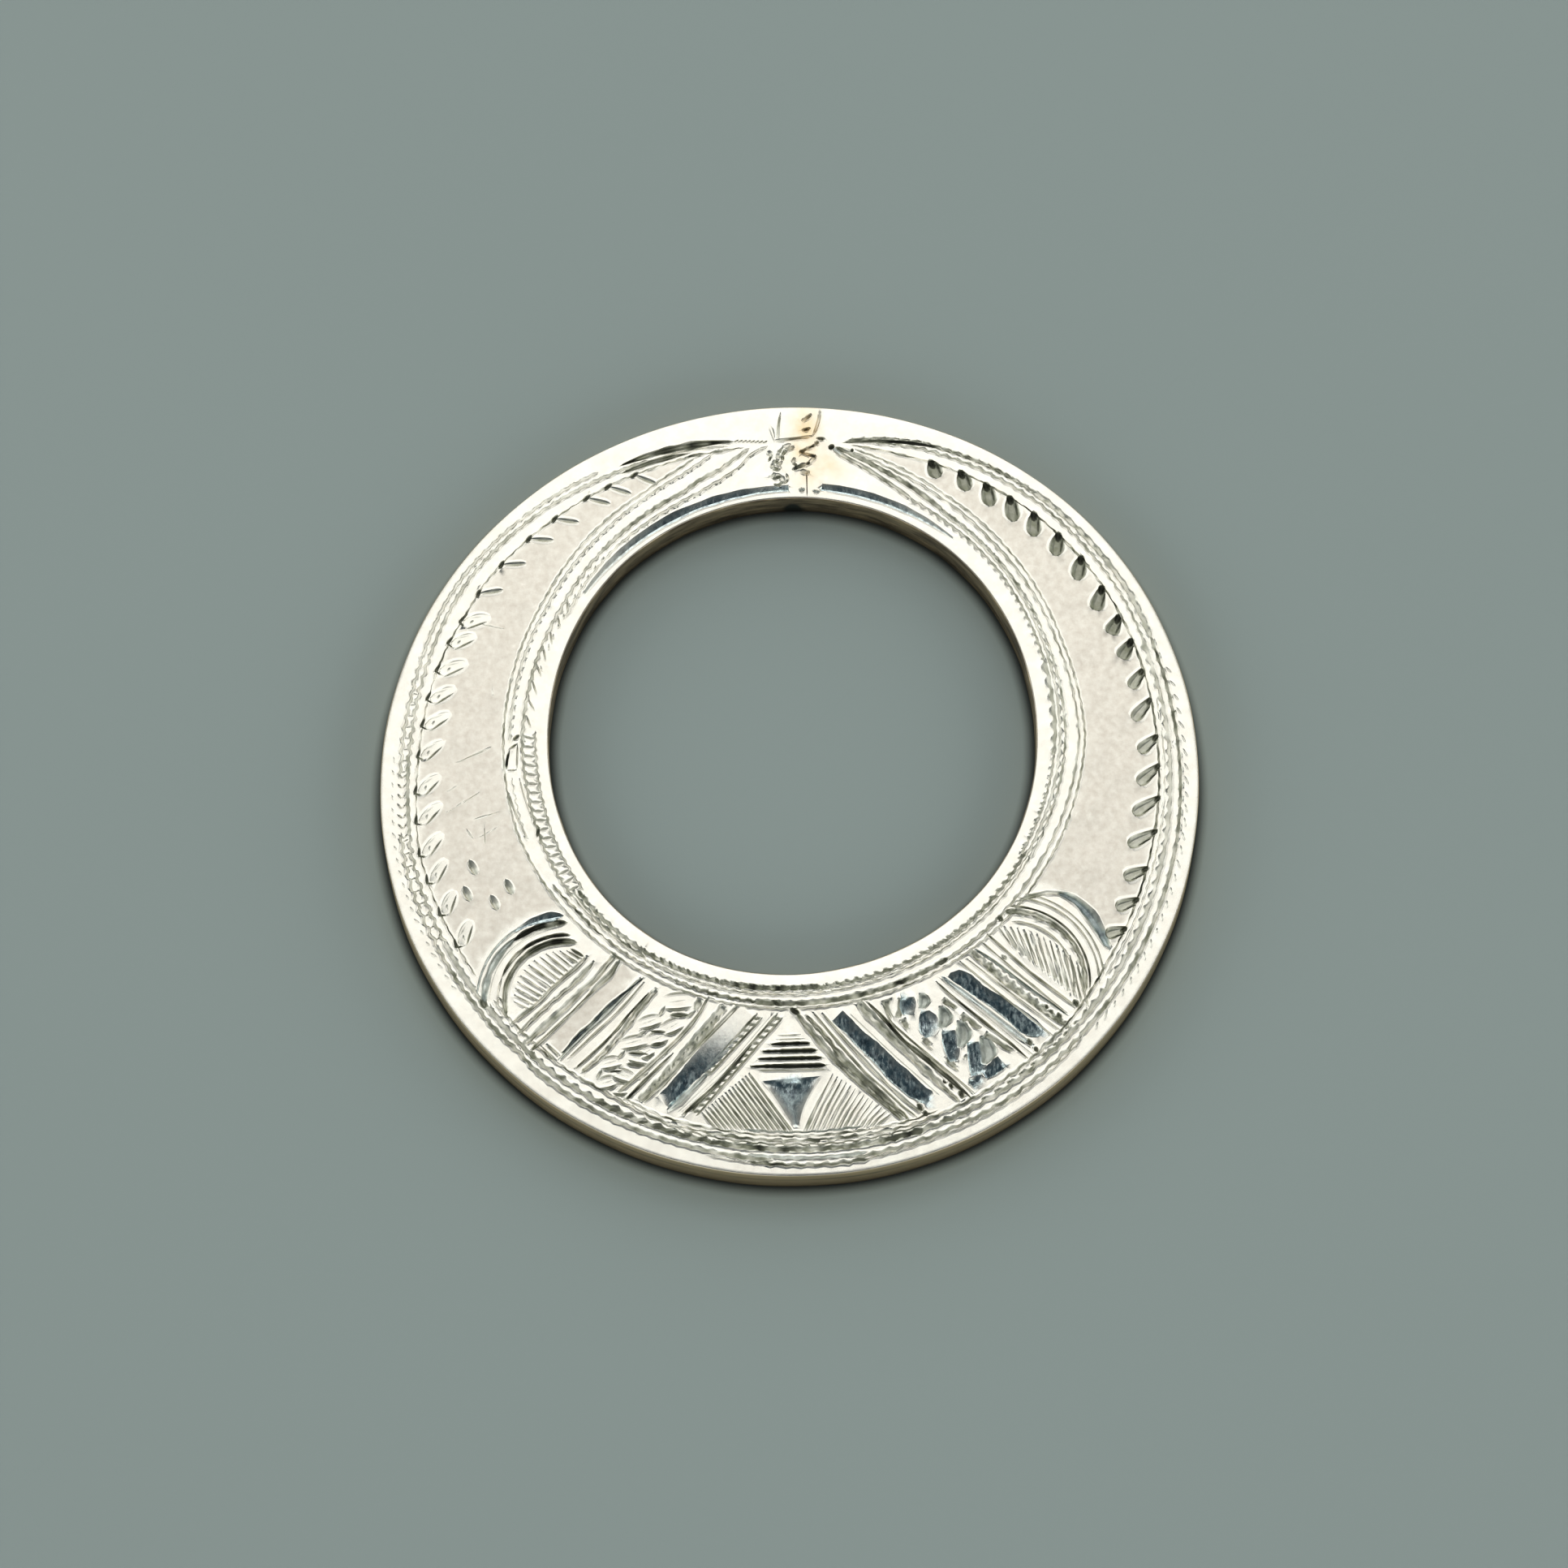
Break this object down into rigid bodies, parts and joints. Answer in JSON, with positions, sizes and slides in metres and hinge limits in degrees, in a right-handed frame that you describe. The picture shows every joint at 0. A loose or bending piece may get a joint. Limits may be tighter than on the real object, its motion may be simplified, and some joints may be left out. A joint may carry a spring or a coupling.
{
  "type": "tuareg pendant",
  "caption": "Flat silver ring pendant with an off-centre round opening, engraved borders, tooth cuts and a geometric field at the bottom.",
  "frame": {"origin": "on the axis of the round opening, at the back face", "axes": "+Z out of the engraved face, +Y towards the seam at the narrow top, +X to the right of the face"},
  "size_m": [0.0452, 0.0443, 0.0024],
  "materials": {
    "silver": "hand-engraved silver, polished rims, softer plain field, grey-brown tarnish in the cuts and on the edges"
  },
  "bodies": {
    "root": {"ring_plate": "silver"}
  },
  "joints": []
}
